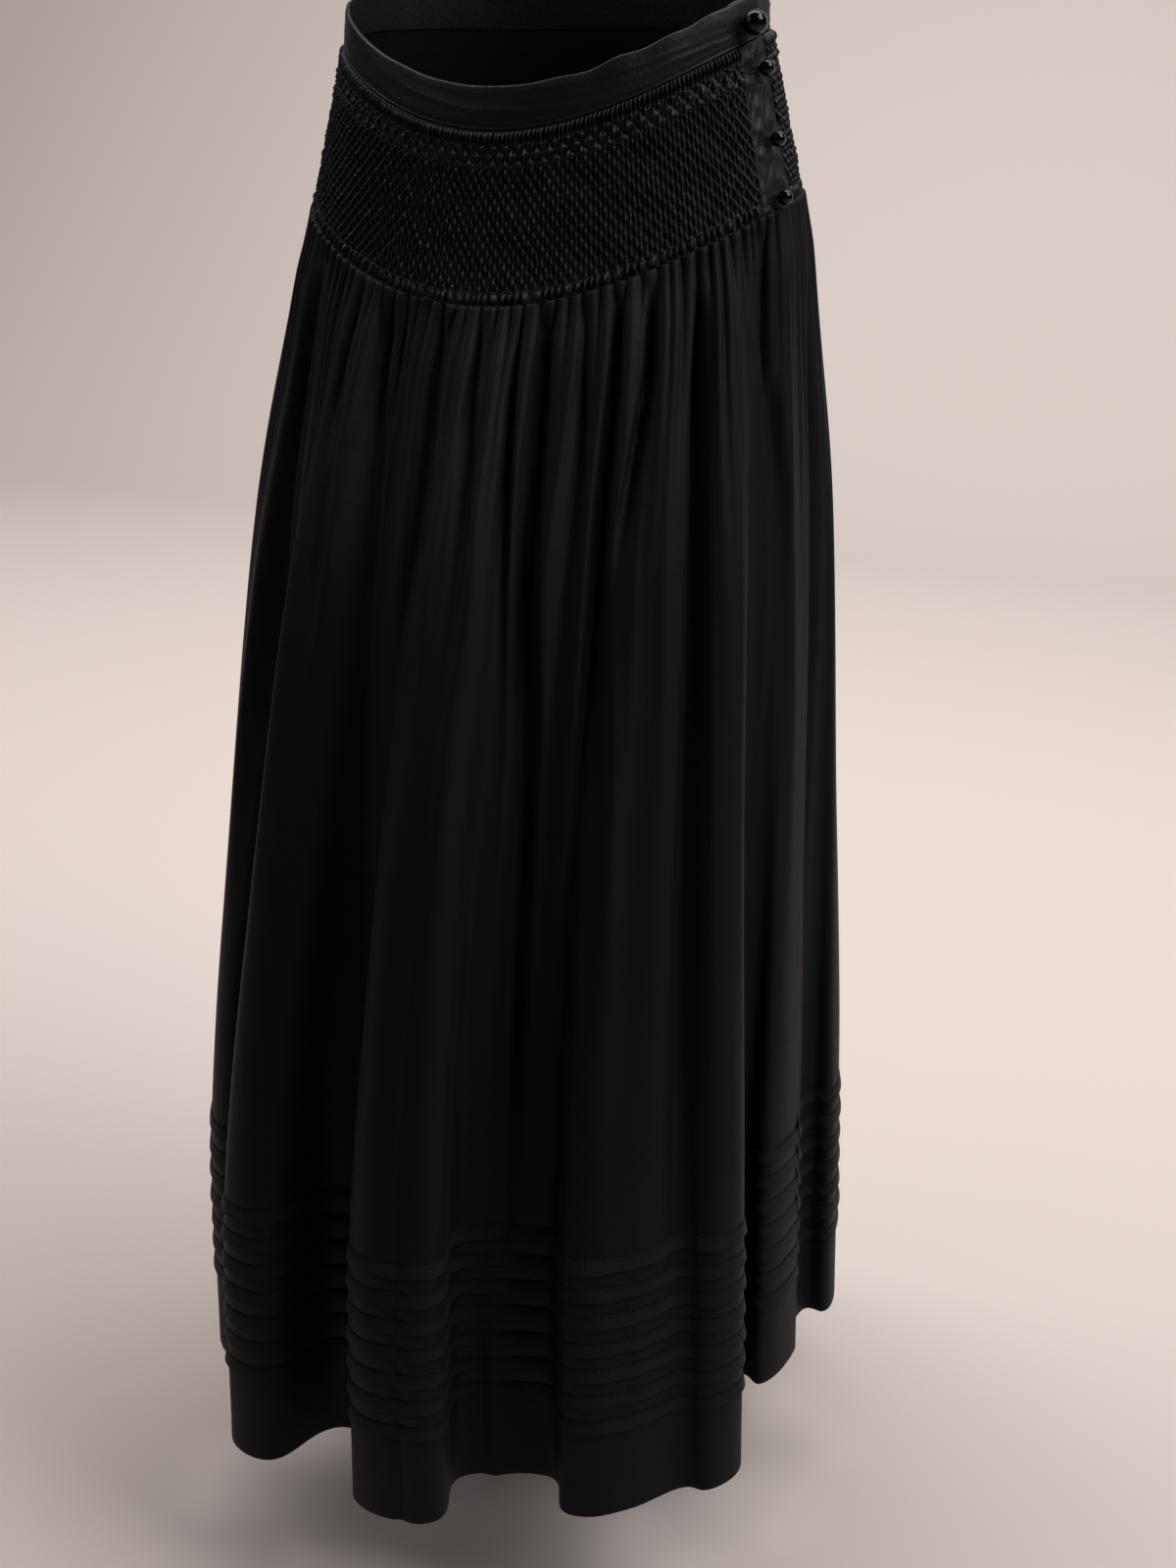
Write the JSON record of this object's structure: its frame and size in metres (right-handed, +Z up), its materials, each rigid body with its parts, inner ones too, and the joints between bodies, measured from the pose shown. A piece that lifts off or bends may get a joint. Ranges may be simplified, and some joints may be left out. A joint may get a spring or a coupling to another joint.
{
  "type": "smocked skirt",
  "caption": "Long gathered skirt with a smocked hip yoke, low waistband, side placket with ball buttons, and horizontal tucks above a deep plain hem.",
  "frame": {"origin": "centre of the waist opening, at the mean height of the waistband's top edge", "axes": "+Z up along the body, front towards -Y, wearer's left (the buttoned side) towards +X"},
  "size_m": [0.4734, 0.5713, 0.987],
  "materials": {
    "band_satin": "black satin, soft sheen",
    "smocked_satin": "black satin, hand smocked",
    "skirt_satin": "black washed satin, low sheen",
    "button_gloss": "polished black"
  },
  "bodies": {
    "root": {"waistband": "band_satin", "placket_overlap": "band_satin", "placket_underlap": "band_satin", "yoke_front": "smocked_satin", "yoke_back": "smocked_satin", "skirt_front": "skirt_satin", "skirt_back": "skirt_satin", "button_waist": "button_gloss", "button_upper": "button_gloss", "button_middle": "button_gloss", "button_lower": "button_gloss"}
  },
  "joints": []
}
